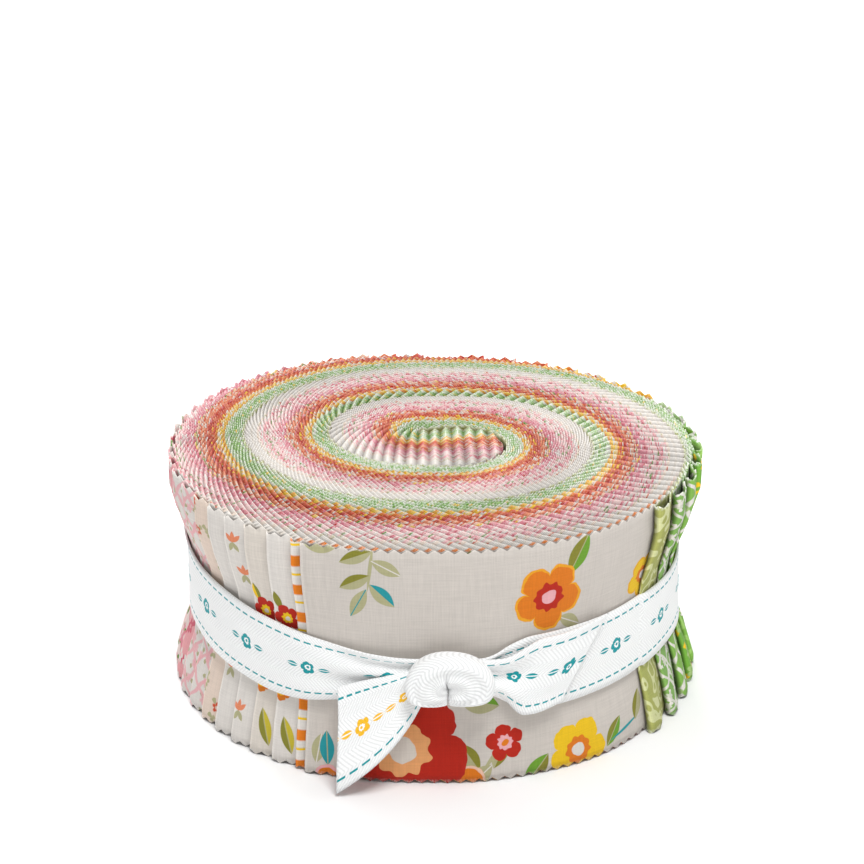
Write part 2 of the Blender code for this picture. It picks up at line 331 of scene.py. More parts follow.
def sheet_object(name, places, cloth_places, thickness, material):
    """Return a sheet of cloth; its places and cloth places are indexed by column and row."""
    columns, rows = places.shape[:2]
    shape = bmesh.new()
    bmesh.ops.create_grid(shape, x_segments=columns - 1, y_segments=rows - 1, size=0.5)
    mesh = bpy.data.meshes.new(name)
    shape.to_mesh(mesh)
    shape.free()
    flat = np.empty(len(mesh.vertices) * 3)
    mesh.vertices.foreach_get("co", flat)
    flat = flat.reshape(-1, 3)
    column = np.rint((flat[:, 0] + 0.5) * (columns - 1)).astype(int)
    row = np.rint((flat[:, 1] + 0.5) * (rows - 1)).astype(int)
    mesh.vertices.foreach_set("co", places[column, row].ravel())
    corner = np.empty(len(mesh.loops), dtype=np.int32)
    mesh.loops.foreach_get("vertex_index", corner)
    layer = mesh.uv_layers.new(name="Cloth")
    layer.uv.foreach_set("vector", cloth_places[column, row][corner].ravel())
    mesh.materials.append(material)
    mesh.shade_smooth()
    mesh.update()
    sheet = bpy.data.objects.new(name, mesh)
    bpy.context.scene.collection.objects.link(sheet)
    if thickness:
        thicken(sheet, thickness)
    return sheet


def thicken(sheet, thickness):
    """Give a sheet its thickness, half to each side."""
    solidify = sheet.modifiers.new("Cloth", "SOLIDIFY")
    solidify.thickness = thickness
    solidify.offset = 0.0


def cloth_grid(run, across):
    """Return the cloth places of a ribbon's columns and rows, at runs and shares of its width."""
    return np.stack(np.meshgrid(run, across * RIBBON_WIDTH, indexing="ij"), -1)


def run_along(row):
    """Return the distance along a row of places."""
    steps = np.linalg.norm(row[1:] - row[:-1], axis=1)
    return np.concatenate([[0.0], np.cumsum(steps)])


def teeth(along, pitch):
    """Return the pinked edge's height at distances along it, from 0 to 1."""
    return np.abs(2.0 * ((along / pitch) % 1.0) - 1.0)


def fold_swell(index):
    """Return how far a strip's fold stands out; the folds at the right stand out most."""
    share = (STRIP_COUNT - 1 - index) / (STRIP_COUNT - 1)
    return (0.95 + 1.6 * share ** 2) * MM


def strip_half(index, line, outer, gap, room, heights, settings):
    """Return one layer of a strip, from its inner end to its fold, by column and row."""
    pitch = settings.tooth_pitch
    length = line.along[-1]
    swell = fold_swell(index) * (1.0 - 0.92 * waist(heights))
    nose = 0.65 * (gap + swell)
    coarse = np.arange(line.curl % (pitch / 2), length - room, pitch / 2)
    coarse = np.concatenate([[0.0], coarse])
    fine = np.arange(coarse[-1] + pitch / 6, length - 1.3 * nose.max(), pitch / 6)
    steps = length - np.concatenate([coarse, fine])
    turn = np.radians(np.array([72.0, 54.0, 38.0, 24.0, 11.0, 0.0]))
    back = np.vstack([
        steps[:, None] + np.zeros(len(heights)),
        (1.0 - np.cos(turn))[:, None] * nose[None, :],
    ])
    along = length - back
    places, outward = read_line(line, along)
    bulge = swell * (1.0 - ease((back / room - 0.25) / 0.75))
    close = 1.0 - np.sqrt(np.clip(1.0 - np.clip(1.0 - back / nose, 0.0, 1.0) ** 2, 0.0, 1.0))
    lift = close * (gap + bulge) / 2
    lift = bulge - lift if outer else lift
    places = places + outward * lift[..., None]
    tooth = 1.0 - teeth(along - line.curl, pitch)
    z = np.broadcast_to(heights, along.shape).copy()
    drift = np.random.default_rng(700 + index).uniform(0.0, 1.0, 2)
    bearing = np.arctan2(places[:, -1, 1], places[:, -1, 0])
    top = 0.14 * drift[0] + 0.16 * (1 + np.sin(2 * bearing + 260 * np.hypot(*places[:, -1].T)))
    z[:, -1] -= settings.tooth_depth * tooth[:, -1]
    z[:, 0] += settings.tooth_depth * tooth[:, 0]
    z[:, -2:] -= top[:, None] * MM
    z[:, :2] += 0.2 * drift[1] * MM
    return np.concatenate([places, z[..., None]], -1)


def strip_sheet(index, material, settings):
    """Return one folded strip; the cloth's u runs from the fold, along the outer layer."""
    last = fold_turn(index)
    inner = layer_line((index + 0.25) * PITCH, last)
    outer = layer_line((index + 0.75) * PITCH, last)
    gap = float(np.hypot(*(outer.places[-1] - inner.places[-1])))
    spacing = 6.2 * MM
    if index + 1 < STRIP_COUNT:
        spacing = math.radians(last - fold_turn(index + 1)) * ROLL_RADIUS * 1.05
    room = min(max(spacing, 2.5 * MM), 11 * MM)
    heights = np.array([0.0, *ROW_HEIGHTS, STRIP_WIDTH])
    outside = strip_half(index, outer, True, gap, room, heights, settings)
    inside = strip_half(index, inner, False, gap, room, heights, settings)
    places = settle(np.concatenate([outside, inside[-2::-1]]), settings)
    run = run_along(places[:, 7])
    run = run[len(outside) - 1] - run
    cloth = np.stack([np.broadcast_to(run[:, None], places.shape[:2]), places[..., 2]], -1)
    name = f"strip_cloth_{index + 1:02d}"
    return sheet_object(name, places, cloth, settings.cloth_thickness, material)


# -------------------------------------------------------------------- the ribbon

def band_line():
    """Return the band's middle surface seen from above, once round the roll."""
    last = FAN_START + FAN_SWEEP
    rays = turn_rays(last - LAP, last)
    radii = [stack_radius(ray, strips_present(ray.turn) * PITCH) + BAND_STANDOFF
             for ray in rays]
    return line_of(rays, radii)


def band_radius(angles):
    """Return the distance from the axis to the band's outer face, at angles from the front."""
    places = band_line().places
    bearing = np.arctan2(places[:, 0], -places[:, 1])
    order = np.argsort(bearing)
    radius = np.hypot(*places.T)
    return np.interp(angles, bearing[order], radius[order], period=2 * math.pi)


def on_front(arc, height, standoff):
    """Return places over the band: arc to the right of the front, height, and standoff."""
    angle = arc / FRONT_RADIUS
    radius = band_radius(angle) + RIBBON_CLOTH / 2 + standoff
    return np.stack([radius * np.sin(angle), -radius * np.cos(angle), height], -1)


def knot_centre():
    """Return the arc and the height of the middle of the knot."""
    return np.array([math.radians(KNOT_ANGLE) * FRONT_RADIUS, RIBBON_HEIGHT + KNOT_RAISE])


def curve_between(start, control, end, share):
    """Return points of the quadratic curve through start and end."""
    share = share[:, None]
    return (1 - share) ** 2 * start + 2 * share * (1 - share) * control + share ** 2 * end


SHIFT = Vector((0.0, 0.0))
SHIFT = frame_shift()
FRONT_RADIUS = float(band_radius(np.array([0.0]))[0])


def band_sheet(material, settings):
    """Return the band: a closed loop of ribbon, gathered where it runs into the knot."""
    line = band_line()
    length = line.along[-1]
    count = 420
    along = np.linspace(0.0, length, count + 1)
    places, outward = read_line(line, along)
    across = np.linspace(0.0, 1.0, 13)
    bearing = np.arctan2(places[:, 0], -places[:, 1])
    arc = bearing * FRONT_RADIUS - knot_centre()[0]
    gather = 1.0 - ease((np.abs(arc) - 0.007) / np.where(arc < 0, 0.044, 0.014))
    rise = 0.0030 * ease((-arc - 0.030) / 0.075) * ease((arc + 0.160) / 0.05)
    middle = RIBBON_HEIGHT - 0.0012 + rise + 0.0016 * gather
    width = RIBBON_WIDTH * (1.0 - 0.52 * gather)
    pleat = np.sin(np.outer(gather * 0.6 + 1.0, across * 2 * math.pi) * 1.5)
    z = middle[:, None] + (across - 0.5) * width[:, None]
    lift = 0.0011 * gather[:, None] * (1.0 + pleat * 0.8)
    flat = places[:, None, :] + outward[:, None, :] * lift[..., None]
    shaped = settle(np.concatenate([flat, z[..., None]], -1), settings)
    shaped[-1] = shaped[0]
    run = run_along(shaped[:, 6])
    band = sheet_object("ribbon_band_twill", shaped, cloth_grid(run, across), None, material)
    shape = bmesh.new()
    shape.from_mesh(band.data)
    bmesh.ops.remove_doubles(shape, verts=shape.verts[:], dist=1e-6)
    shape.to_mesh(band.data)
    shape.free()
    thicken(band, RIBBON_CLOTH)
    return band, run[-1]


def left_tail_sheet(material, settings):
    """Return the left tail, which hangs from the knot and stands off the roll."""
    knot = knot_centre()
    root_top = np.array([knot[0] - KNOT_SIZE[0] / 2 - TAIL_GAP, knot[1]])
    root_low = root_top + np.array([KNOT_SIZE[0] * LEFT_ROOT_SLANT,
                                    -KNOT_SIZE[2] * LEFT_ROOT_DEPTH])
    cut_top = root_top - np.array(LEFT_TAIL_CORNER)
    cut_low = np.array([root_top[0] - LEFT_TAIL_REACH + LEFT_TAIL_TRIM, FLOOR_CLEARANCE])
    top_bend = (root_top + cut_top) / 2 + np.array([0.0, LEFT_TAIL_ARCH])
    low_bend = root_low - np.array(LEFT_TAIL_SAG)
    share = np.linspace(-0.22, 1.0, 49)
    low = curve_between(root_low, low_bend, cut_low, share)
    top = curve_between(root_top, top_bend, cut_top, share)
    across = np.linspace(0.0, 1.0, 21)
    plane = low[:, None, :] + (top - low)[:, None, :] * across[None, :, None]
    inside = np.clip(share, 0.0, 1.0)[:, None]
    standoff = TAIL_STANDOFF + LEFT_TAIL_LIFT * inside * (1.0 - across * 2 / 3)
    gather = 1.0 - ease((share[:, None] + 0.22) / 0.75)
    standoff = standoff + 0.0011 * gather * np.sin(across * 3 * math.pi + 0.6)
    standoff = standoff + 0.0009 * np.sin(inside * 4.2 + across * 2.0) * inside
    shaped = on_front(plane[..., 0], plane[..., 1], standoff)
    return tail_object("ribbon_tail_left_twill", settle(shaped, settings), across, material)


def right_tail_sheet(material, settings):
    """Return the right tail, which lies along the band and ends in a slanted cut."""
    knot = knot_centre()
    root = knot[0] + KNOT_SIZE[0] / 2 + TAIL_GAP
    share = np.linspace(-0.14, 1.0, 57)
    inside = np.clip(share, 0.0, 1.0)
    widening = (RIBBON_WIDTH - RIGHT_TAIL_ROOT) / 2 * ease(inside / RIGHT_FLARE_SHARE)
    flare = RIGHT_TAIL_ROOT / 2 + widening
    low_arc = root + (RIGHT_TAIL_REACH - RIGHT_TAIL_CUT) * share
    top_arc = root + RIGHT_TAIL_REACH * share
    across = np.linspace(0.0, 1.0, 21)
    arc = low_arc[:, None] + (top_arc - low_arc)[:, None] * across
    height = RIBBON_HEIGHT + (2 * across - 1) * flare[:, None]
    height = height - 0.0012 * np.sin(inside * math.pi)[:, None]
    gather = 1.0 - ease(inside / 0.55)[:, None]
    standoff = TAIL_STANDOFF + 0.0010 * gather * np.sin(across * 3 * math.pi - 0.5)
    standoff = standoff + 0.0007 * (inside * np.sin(inside * 5.0))[:, None]
    standoff = standoff + 0.0006 * inside[:, None] * (2 * across - 1) ** 2
    shaped = on_front(arc, height, standoff)
    return tail_object("ribbon_tail_right_twill", settle(shaped, settings), across, material)


def tail_object(name, shaped, across, material):
    """Return a ribbon tail with its cloth places, and the lengths of its low and top edges."""
    run = run_along(shaped[:, shaped.shape[1] // 2])
    edges = (run_along(shaped[:, 0])[-1], run_along(shaped[:, -1])[-1])
    return sheet_object(name, shaped, cloth_grid(run, across), RIBBON_CLOTH, material), edges


def knot_object(material, settings):
    """Return the knot: a fat fold of ribbon that turns over a pinched point."""
    knot = knot_centre()
    turn = np.linspace(math.radians(-89.0), math.radians(269.0), 101)
    around = np.linspace(0.0, 2 * math.pi, 57)
    turns, arounds = np.meshgrid(turn, around, indexing="ij")
    pinch = np.array([knot[0] - 0.0009, knot[1] - 0.0022])
    share = (turns - turn[0]) / (turn[-1] - turn[0])
    end = np.sqrt(np.clip(1.0 - np.abs(2 * share - 1) ** 6, 0.0, 1.0))
    side = np.where(np.cos(turns) > 0, 0.0109, 0.0098)
    reach = np.hypot(side * np.cos(turns), 0.0086 * np.sin(turns))
    flat = 0.0049 / np.maximum(-np.sin(turns), 0.05)
    reach = (reach ** -7.0 + flat ** -7.0) ** (-1 / 7)
    full = np.sign(np.cos(arounds)) * np.abs(np.cos(arounds)) ** 0.7
    proud = np.sign(np.sin(arounds)) * np.abs(np.sin(arounds)) ** 0.55
    share_out = (1.0 + full) / 2
    pleat = 1.0 + 0.10 * np.cos(share_out * 15.0 + 1.3 * turns) * end
    crease = np.exp(-((turns - 1.9 + 0.5 * share_out) / 0.16) ** 2) * (1.0 - ease(share_out / 0.8))
    out = reach * share_out
    depth = KNOT_SIZE[1] / 2 * (0.30 + 0.70 * end) * proud * pleat * (1.0 - 0.45 * crease)
    arc = pinch[0] + out * np.cos(turns)
    height = pinch[1] + out * np.sin(turns)
    standoff = KNOT_SIZE[1] / 2 + KNOT_GAP - depth
    shaped = settle(on_front(arc, height, standoff), settings)
    cloth = np.stack([turns * 0.0062, arounds / (2 * math.pi) * RIBBON_WIDTH], -1)
    wrap = sheet_object("ribbon_knot_wrap", shaped, cloth, None, material)
    shape = bmesh.new()
    shape.from_mesh(wrap.data)
    bmesh.ops.remove_doubles(shape, verts=shape.verts[:], dist=2e-5)
    bmesh.ops.holes_fill(shape, edges=[edge for edge in shape.edges if edge.is_boundary])
    bmesh.ops.recalc_face_normals(shape, faces=shape.faces[:])
    shape.to_mesh(wrap.data)
    shape.free()
    wrap.data.shade_smooth()
    return wrap


# ------------------------------------------------------------------ shader nodes

class Signal:
    """A socket's value; arithmetic on it adds Math nodes to its board."""

    def __init__(self, board, socket):
        self.board = board
        self.socket = socket

    def __add__(self, other):
        return self.board.math("ADD", self, other)

    def __sub__(self, other):
        return self.board.math("SUBTRACT", self, other)

    def __rsub__(self, other):
        return self.board.math("SUBTRACT", other, self)

    def __mul__(self, other):
        return self.board.math("MULTIPLY", self, other)

    def __truediv__(self, other):
        return self.board.math("DIVIDE", self, other)

    def __mod__(self, other):
        return self.board.math("FLOORED_MODULO", self, other)

    def __abs__(self):
        return self.board.math("ABSOLUTE", self)


class Board:
    """Places shader nodes in one tree and wires them together."""

    def __init__(self, tree):
        self.tree = tree

    def feed(self, socket, value):
        """Link a signal or a socket, or set the socket's own value."""
        if isinstance(value, Signal):
            value = value.socket
        if isinstance(value, bpy.types.NodeSocket):
            self.tree.links.new(value, socket)
        else:
            socket.default_value = value

    def node(self, kind, values=None, **settings):
        """Add a node with its settings and its inputs' values."""
        made = self.tree.nodes.new("ShaderNode" + kind)
        for name, value in settings.items():
            setattr(made, name, value)
        for key, value in (values or {}).items():
            self.feed(made.inputs[key], value)
        return made

    def signal(self, made, output=0):
        """Return one of a node's outputs as a signal."""
        return Signal(self, made.outputs[output])

    def signals(self, made):
        """Return all of a node's outputs as signals by name."""
        return {output.name: Signal(self, output) for output in made.outputs}

    def math(self, operation, *values, clamp=False):
        """Return the result of a Math node."""
        return self.signal(self.node("Math", dict(enumerate(values)), operation=operation,
                                     use_clamp=clamp))

    def mask(self, value, softness):
        """Return 1 where a signed distance is inside, 0 outside, with a soft edge."""
        return self.math("MULTIPLY_ADD", value, 1.0 / softness, 0.5, clamp=True)

    def distance(self, x, y):
        """Return the distance of (x, y) from the origin."""
        return self.math("SQRT", x * x + y * y)

    def vector(self, operation, *values):
        """Return the result of a Vector Math node."""
        return self.signal(self.node("VectorMath", dict(enumerate(values)), operation=operation))

    def split(self, vector):
        """Return the x and y of a vector."""
        made = self.node("SeparateXYZ", {0: vector})
        return self.signal(made, 0), self.signal(made, 1)

    def join(self, x, y):
        """Return a vector from x and y."""
        return self.signal(self.node("CombineXYZ", {0: x, 1: y}))

    def mix(self, share, first, second):
        """Return a mix of two colours."""
        return self.signal(self.node("Mix", {0: share, 6: rgb(first), 7: rgb(second)},
                                     data_type="RGBA"), 2)

    def noise(self, place, scale, detail=2.0):
        """Return a noise value."""
        return self.signal(self.node("TexNoise", {"Vector": place, "Scale": scale,
                                                  "Detail": detail}))

    def use(self, name, **values):
        """Return the outputs of a shared node group, which is made the first time."""
        if name not in GROUPS:
            GROUPS[name] = GROUP_MAKERS[name]()
        made = self.node("Group")
        made.node_tree = GROUPS[name]
        for key, value in values.items():
            self.feed(made.inputs[key], value)
        return self.signals(made)


def new_group(name, inputs, outputs):
    """Return an empty node group's board, its inputs and the function that feeds its outputs."""
    group = bpy.data.node_groups.new(name, "ShaderNodeTree")
    for label, default in inputs.items():
        kind = "NodeSocketVector" if default is None else "NodeSocketFloat"
        socket = group.interface.new_socket(name=label, in_out="INPUT", socket_type=kind)
        if default is not None:
            socket.default_value = default
    for label in outputs:
        group.interface.new_socket(name=label, in_out="OUTPUT", socket_type="NodeSocketFloat")
    board = Board(group)
    given = board.signals(group.nodes.new("NodeGroupInput"))
    result = group.nodes.new("NodeGroupOutput").inputs

    def give(**values):
        """Feed the group's outputs, and return the group."""
        for label, value in values.items():
            board.feed(result[label], value)
        return group

    return board, given, give


def weave_group():
    """Plain weave: threads over and under, with slubs; its tone output adds painted shade between the
    threads to the slubs' random tone. Places are in millimetres.
    """
    board, given, give = new_group("Plain weave", {"Place": None, "Threads": 2.6},
                                   ("Height", "Tone"))
    u, v = board.split(given["Place"])
    warp_count = u * given["Threads"]
    weft_count = v * given["Threads"]
    warp = abs(board.math("SINE", warp_count * math.pi))
    weft = abs(board.math("SINE", weft_count * math.pi))
    over = (board.math("FLOOR", warp_count) + board.math("FLOOR", weft_count)) % 2.0
    up = warp * (weft * 0.4 + 0.6)
    down = weft * (warp * 0.4 + 0.6)
    woven = board.signal(board.node("Mix", {0: over, 2: up, 3: down}))
    along = board.noise(board.join(u * 0.12, v * 2.4), 1.0)
    across = board.noise(board.join(u * 2.4, v * 0.12), 1.0)
    slub = (along + across) * 0.5
    # The tone output is the slubs' random tone plus painted shade between the threads
    return give(Height=slub + woven, Tone=slub + woven * 0.25)


def flower_group():
    """A flower with rounded petals: masks of its petals, their rim, its ring and its heart."""
    inputs = {"Place": None, "Centre": None, "Radius": 8.0, "Petals": 5.0, "Notch": 0.3, "Turn": 0.0}
    board, given, give = new_group("Flower", inputs, ("Petals", "Rim", "Ring", "Heart"))
    wander = board.signal(board.node("TexNoise", {"Vector": given["Place"], "Scale": 0.35,
                                                  "Detail": 1.0}), 1)
    shaken = board.vector("MULTIPLY_ADD", wander, (1.4, 1.4, 0.0), given["Place"])
    steady = board.vector("SUBTRACT", shaken, (0.7, 0.7, 0.0))
    x, y = board.split(board.vector("SUBTRACT", steady, given["Centre"]))
    away = board.distance(x, y)
    angle = board.math("ARCTAN2", y, x) + given["Turn"]
    lobe = board.math("SQRT", abs(board.math("COSINE", angle * given["Petals"] * 0.5)))
    inside = given["Radius"] * (1.0 - (1.0 - lobe) * given["Notch"]) - away
    petals = board.mask(inside, 0.18)
    ring = given["Radius"] * (board.math("COSINE", angle * 9.0) * 0.035 + 0.42)
    return give(Petals=petals, Rim=petals - board.mask(inside - 0.75, 0.18),
                Ring=board.mask(ring - away, 0.15),
                Heart=board.mask(given["Radius"] * 0.21 - away, 0.15))


def leaf_group():
    """A pointed leaf from its base: masks of its blade, one half of it, and its vein."""
    inputs = {"Place": None, "Base": None, "Turn": 0.0, "Length": 8.0, "Width": 4.0}
    board, given, give = new_group("Leaf", inputs, ("Blade", "Half", "Vein"))
    x, y = board.split(board.vector("SUBTRACT", given["Place"], given["Base"]))
    cosine = board.math("COSINE", given["Turn"])
    sine = board.math("SINE", given["Turn"])
    share = (x * cosine + y * sine) / given["Length"]
    aside = y * cosine - x * sine
    half = share * (1.0 - share) * 2.0 * given["Width"]
    blade = board.mask(half - abs(aside), 0.16)
    return give(Blade=blade, Half=blade * board.mask(aside, 0.16),
                Vein=blade * board.mask(0.14 - abs(aside), 0.14))


def ditsy_group():
    """Small flowers and leaves, one in each scattered cell, with a value that picks a colour."""
    inputs = {"Place": None, "Cell": 6.0, "Size": 0.3}
    board, given, give = new_group("Small flowers", inputs, ("Flowers", "Hearts", "Leaves", "Pick"))
    scaled = board.vector("DIVIDE", given["Place"], board.join(given["Cell"], given["Cell"]))
    cells = board.signals(board.node("TexVoronoi", {"Vector": scaled, "Scale": 1.0,
                                                    "Randomness": 0.65}, voronoi_dimensions="2D"))
    pick = board.signals(board.node("SeparateColor", {0: cells["Color"]}))
    x, y = board.split(board.vector("SUBTRACT", scaled, cells["Position"]))
    away = board.distance(x, y)
    angle = board.math("ARCTAN2", y, x) + pick["Red"] * 6.28
    lobe = abs(board.math("COSINE", angle * 2.5))
    flower = board.mask(given["Size"] * (lobe * 0.45 + 0.55) - away, 0.05)
    spoke = board.math("POWER", abs(board.math("COSINE", angle)), 22.0)
    leaf = board.mask(given["Size"] * 1.75 - away, 0.05) * spoke
    return give(Flowers=flower, Hearts=board.mask(given["Size"] * 0.3 - away, 0.05),
                Leaves=board.mask(leaf - 0.35, 0.2) * (1.0 - flower), Pick=pick["Green"])


def trellis_group():
    """Crossing slanted lines with a dot at each crossing."""
    inputs = {"Place": None, "Spacing": 5.0, "Line": 0.09}
    board, given, give = new_group("Trellis", inputs, ("Lines", "Dots"))
    u, v = board.split(given["Place"])
    sway = board.math("SINE", v * 1.1) * 0.05
    slants = [abs(board.math("FRACT", slant / given["Spacing"] + sway) - 0.5)
              for slant in (u + v, u - v)]
    lines = [board.mask(given["Line"] - slant, 0.04) for slant in slants]
    return give(Lines=board.math("MAXIMUM", *lines),
                Dots=board.mask(0.2 - board.distance(*slants), 0.05))


def scroll_group():
    """Curling lines of an even width, as on a scrolled tone-on-tone print."""
    board, given, give = new_group("Scrolls", {"Place": None, "Size": 5.0}, ("Lines",))
    scaled = board.vector("DIVIDE", given["Place"], board.join(given["Size"], given["Size"]))
    bands = board.math("PINGPONG", board.noise(scaled, 0.9, 0.6) * 9.0, 1.0)
    return give(Lines=board.mask(bands - 0.62, 0.12))


def edge_group():
    """Pale threads at a pinked edge, painted shade where neighbours press, and a painted highlight along
    the crease.
    """
    inputs = {"Place": None, "Width": 63.5, "Reach": 1.3, "Shown": 11.0}
    board, given, give = new_group("Cut edge", inputs, ("Fray", "Shade", "Crease"))
    u, v = board.split(given["Place"])
    near = board.math("MINIMUM", v, given["Width"] - v)
    share = board.math("SUBTRACT", 1.0, near / given["Reach"], clamp=True)
    fine = board.noise(board.join(u * 2.6, v * 1.2), 1.0, 3.0)
    threads = board.math("MULTIPLY_ADD", fine, 3.2, -1.15, clamp=True)
    # Painted shade on the cloth that lies under its neighbours, beyond the part that is seen
    half = given["Shown"] * 0.5
    tucked_shade = board.mask(abs(u - half) - half, 1.0)
    # The crease output is a painted highlight along the fold's crease
    return give(Fray=board.math("MULTIPLY", share, threads, clamp=True),
                Shade=tucked_shade * (1.0 - share),
                Crease=board.math("SUBTRACT", 1.0, abs(u - 0.4) / 0.9, clamp=True))


def twill_group():
    """Herringbone twill with two rows of running stitches. Places are in millimetres."""
    inputs = {"Place": None, "Rib": 1.0, "Width": 20.0, "Inset": 2.3, "Stitch": 3.0}
    board, given, give = new_group("Herringbone twill", inputs, ("Height", "Stitches"))
    u, v = board.split(given["Place"])
    slant = (u + board.math("PINGPONG", v, 3.3)) / given["Rib"]
    rib = abs(board.math("SINE", slant * math.pi))
    yarn = abs(board.math("SINE", v * 5.2))
    side = board.math("MINIMUM", v, given["Width"] - v)
    line = board.mask(0.24 - abs(side - given["Inset"]), 0.12)
    part = board.math("FRACT", u / given["Stitch"])
    dash = board.mask(0.33 - abs(part - 0.5), 0.05)
    return give(Height=rib * (yarn * 0.35 + 0.65), Stitches=line * dash)


GROUP_MAKERS = {
    "weave": weave_group, "flower": flower_group, "leaf": leaf_group, "ditsy": ditsy_group,
    "trellis": trellis_group, "scroll": scroll_group, "edge": edge_group, "twill": twill_group,
}
GROUPS = {}


def rgb(colour):
    """Return a colour with its alpha; a signal is left as it is."""
    return colour if isinstance(colour, Signal) else (*colour, 1.0)


def cloth_material(name, roughness):
    """Return a cloth material, its board, its Principled shader and its place in millimetres."""
    material = bpy.data.materials.new(name)
    material.use_nodes = True
    board = Board(material.node_tree)
    shader = material.node_tree.nodes["Principled BSDF"]
    for label, value in (("Roughness", roughness), ("Specular IOR Level", 0.25),
                         ("Sheen Weight", 0.05), ("Sheen Roughness", 0.6)):
        board.feed(shader.inputs[label], value)
    cloth = board.signal(board.node("UVMap", uv_map="Cloth"))
    place = board.vector("MULTIPLY", cloth, (1000.0, 1000.0, 0.0))
    return material, board, shader, place


def finish_cloth(board, shader, colour, height, strength, distance):
    """Give a cloth's shader its colour and the relief of its weave."""
    board.feed(shader.inputs["Base Color"], colour)
    bump = board.node("Bump", {"Height": height, "Strength": strength, "Distance": distance})
    board.feed(shader.inputs["Normal"], bump.outputs[0])


def finish_cotton(board, shader, place, colour, shown, thread, wear):
    """Lay the printed colour into woven cotton, with threads showing at its cut edges, and with painted
    shade and a painted highlight.
    """
    weave = board.use("weave", Place=place)
    edge = board.use("edge", Place=place, Shown=shown)
    faded = board.mix(edge["Fray"] * wear, colour, thread)
    # Painted shade and light in the colour: shade between threads, shade under the neighbouring strips,
    # and a highlight along the crease
    shade = (weave["Tone"] * 0.40 + 0.66) * (edge["Shade"] * -0.58 + 1.0)
    shade = shade * (edge["Crease"] * 0.30 + 0.95)
    toned = board.node("VectorMath", {0: faded, "Scale": shade}, operation="SCALE").outputs[0]
    finish_cloth(board, shader, toned, weave["Height"], 0.35, 0.00008)


# ------------------------------------------------------------------- the prints

WHITE = (0.76, 0.72, 0.675)
OYSTER = (0.65, 0.60, 0.55)
CREAM = (0.74, 0.68, 0.61)
PEACH = (0.84, 0.55, 0.42)
PINK = (0.72, 0.20, 0.27)
PALE_PINK = (0.84, 0.43, 0.46)
ROSE = (0.64, 0.11, 0.17)
CORAL = (0.64, 0.085, 0.03)
ORANGE = (0.76, 0.20, 0.01)
PALE_CORAL = (0.80, 0.26, 0.13)
RED = (0.50, 0.018, 0.006)
GOLD = (0.82, 0.42, 0.015)
YELLOW = (0.88, 0.56, 0.01)
GREEN = (0.11, 0.29, 0.03)
LEAF = (0.16, 0.36, 0.03)
PALE_GREEN = (0.38, 0.54, 0.20)
OLIVE = (0.25, 0.24, 0.03)
SAGE = (0.45, 0.43, 0.24)
TEAL = (0.02, 0.32, 0.36)

# Cut edges: share of the stack reached, colour of the loose threads, how much they show
CUT_EDGES = (
    (0.20, (0.84, 0.87, 0.78), 1.7),
    (0.27, (0.94, 0.88, 0.70), 0.75),
    (0.49, (0.92, 0.70, 0.58), 0.50),
    (1.00, (0.94, 0.90, 0.84), 0.75),
)
# The striped cloth's coloured cut edge, in millimetres: how far it runs from the fold, and its height
STRIPE_RUN = 110.0
STRIPE_EDGE = 62.4
# How far from its fold a strip is seen, in millimetres, for the outermost strip and the others; the cloth
# beyond it gets painted shade
OUTER_SHOWN = 100.0
FOLD_SHOWN = 22.0
